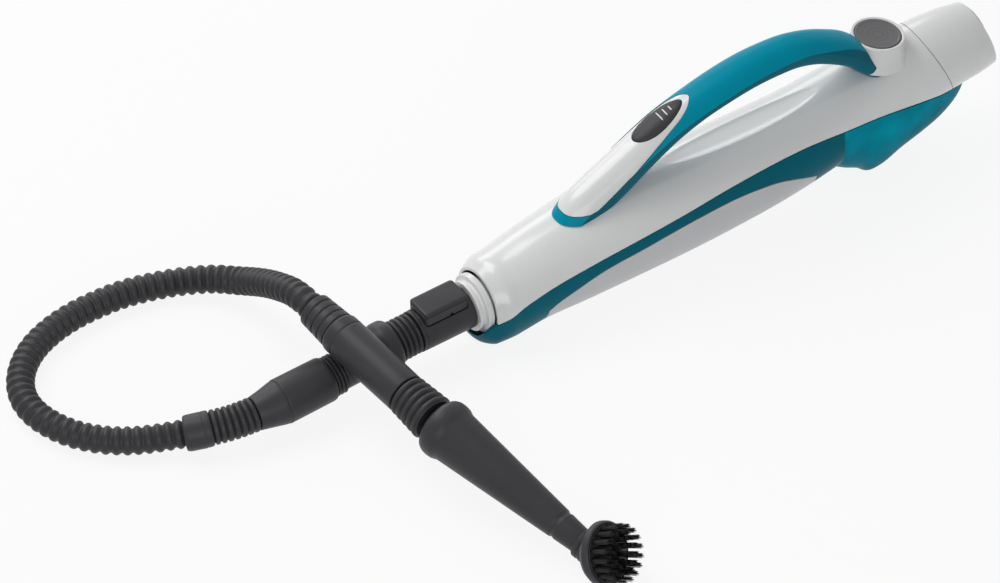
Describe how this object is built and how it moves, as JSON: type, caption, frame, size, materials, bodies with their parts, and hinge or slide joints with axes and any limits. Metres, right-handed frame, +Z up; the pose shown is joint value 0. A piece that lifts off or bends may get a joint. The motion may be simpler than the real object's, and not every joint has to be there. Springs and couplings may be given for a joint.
{
  "type": "handheld steam cleaner",
  "caption": "Handheld steam cleaner with a loop handle, slide-off water tank, ribbed hose, cone nozzle and round brush.",
  "frame": {"origin": "on the ground under the nose, at the middle of the chin pad", "axes": "+X along the body from nose to rear, +Y to the side away from the nozzle, +Z up"},
  "size_m": [0.7457, 0.4543, 0.146],
  "materials": {
    "white_shell": "glossy moulded plastic",
    "pale_grey_shell": "satin moulded plastic",
    "teal_shell": "satin moulded plastic",
    "tank_plastic": "clear tinted plastic",
    "dark_plastic": "moulded plastic",
    "button_plastic": "fine turned texture",
    "black_plastic": "moulded plastic",
    "soft_dark": "soft moulded rubber",
    "silicone": "clear soft tube",
    "cast_metal": "cast",
    "pipe_brass": "drawn tube",
    "bright_metal": "bright",
    "board": "circuit board",
    "bristle_nylon": "nylon filament"
  },
  "bodies": {
    "housing": {"upper_housing": "white_shell", "lower_housing": "pale_grey_shell", "side_trim": "teal_shell", "nose_ring": "white_shell", "rear_cap": "white_shell", "pole_socket": "pale_grey_shell", "cord_gland": "soft_dark", "bay_plate": "pale_grey_shell", "tank_coupling": "dark_plastic", "handle_grip": "teal_shell", "handle_cover": "white_shell", "steam_switch": "black_plastic", "boiler": "cast_metal", "thermostat": "black_plastic", "thermal_fuse": "bright_metal", "water_pump": "black_plastic", "pump_mount_front": "soft_dark", "pump_mount_rear": "soft_dark", "control_board": "board", "steam_pipe": "pipe_brass", "pressure_tube": "silicone", "water_tube": "silicone", "lever_pin": "bright_metal", "button_spring": "bright_metal", "hose_connector": "dark_plastic", "front_bellows": "soft_dark", "centre_tube": "dark_plastic", "rear_bellows": "soft_dark", "line_sleeve": "dark_plastic", "strain_relief": "soft_dark", "hose_cuff": "dark_plastic", "hose": "soft_dark", "hose_ferrule": "dark_plastic", "handpiece_tube": "dark_plastic", "nozzle_bellows": "soft_dark", "cone_nozzle": "dark_plastic"},
    "tank": {"water_tank": "tank_plastic", "tank_valve": "dark_plastic"},
    "filler_cap": {"tank_cap": "dark_plastic"},
    "release": {"release_button": "button_plastic"},
    "lever": {"release_lever": "pale_grey_shell"},
    "steam_key": {"steam_button": "dark_plastic"},
    "latch": {"latch_button": "dark_plastic"},
    "brush": {"brush_head": "dark_plastic", "bristles": "bristle_nylon"}
  },
  "joints": [
    {"name": "steam_button_press", "type": "slide", "parent": "housing", "child": "steam_key", "axis": [0.4244, 0, -0.9055], "range_m": [0, 0.0012], "stiffness_N_per_m": 800},
    {"name": "release_button_press", "type": "slide", "parent": "housing", "child": "release", "axis": [-0.1478, 0, -0.989], "range_m": [0, 0.0025], "stiffness_N_per_m": 600, "deforming": ["button_spring"]},
    {"name": "release_lever_rock", "type": "hinge", "parent": "housing", "child": "lever", "pos_m": [0.34747, 0, 0.08936], "axis": [0, -1, 0], "range_deg": [0, 9]},
    {"name": "tank_slide", "type": "slide", "parent": "housing", "child": "tank", "axis": [0, 0, -1], "range_m": [0, 0.03]},
    {"name": "tank_cap_turn", "type": "hinge", "parent": "tank", "child": "filler_cap", "pos_m": [0.30762, 0, 0.06548], "axis": [0, 0, 1], "range_deg": [0, 90]},
    {"name": "latch_press", "type": "slide", "parent": "housing", "child": "latch", "axis": [0.0349, 0, -0.9994], "range_m": [0, 0.002], "stiffness_N_per_m": 800},
    {"name": "brush_turn", "type": "hinge", "parent": "housing", "child": "brush", "pos_m": [-0.07874, -0.23297, 0.02083], "axis": [0.218, -0.9597, -0.1771], "continuous": true}
  ],
  "couplings": [
    {"joint": "release_lever_rock", "follows": "release_button_press", "rad_per_m": 60}
  ]
}
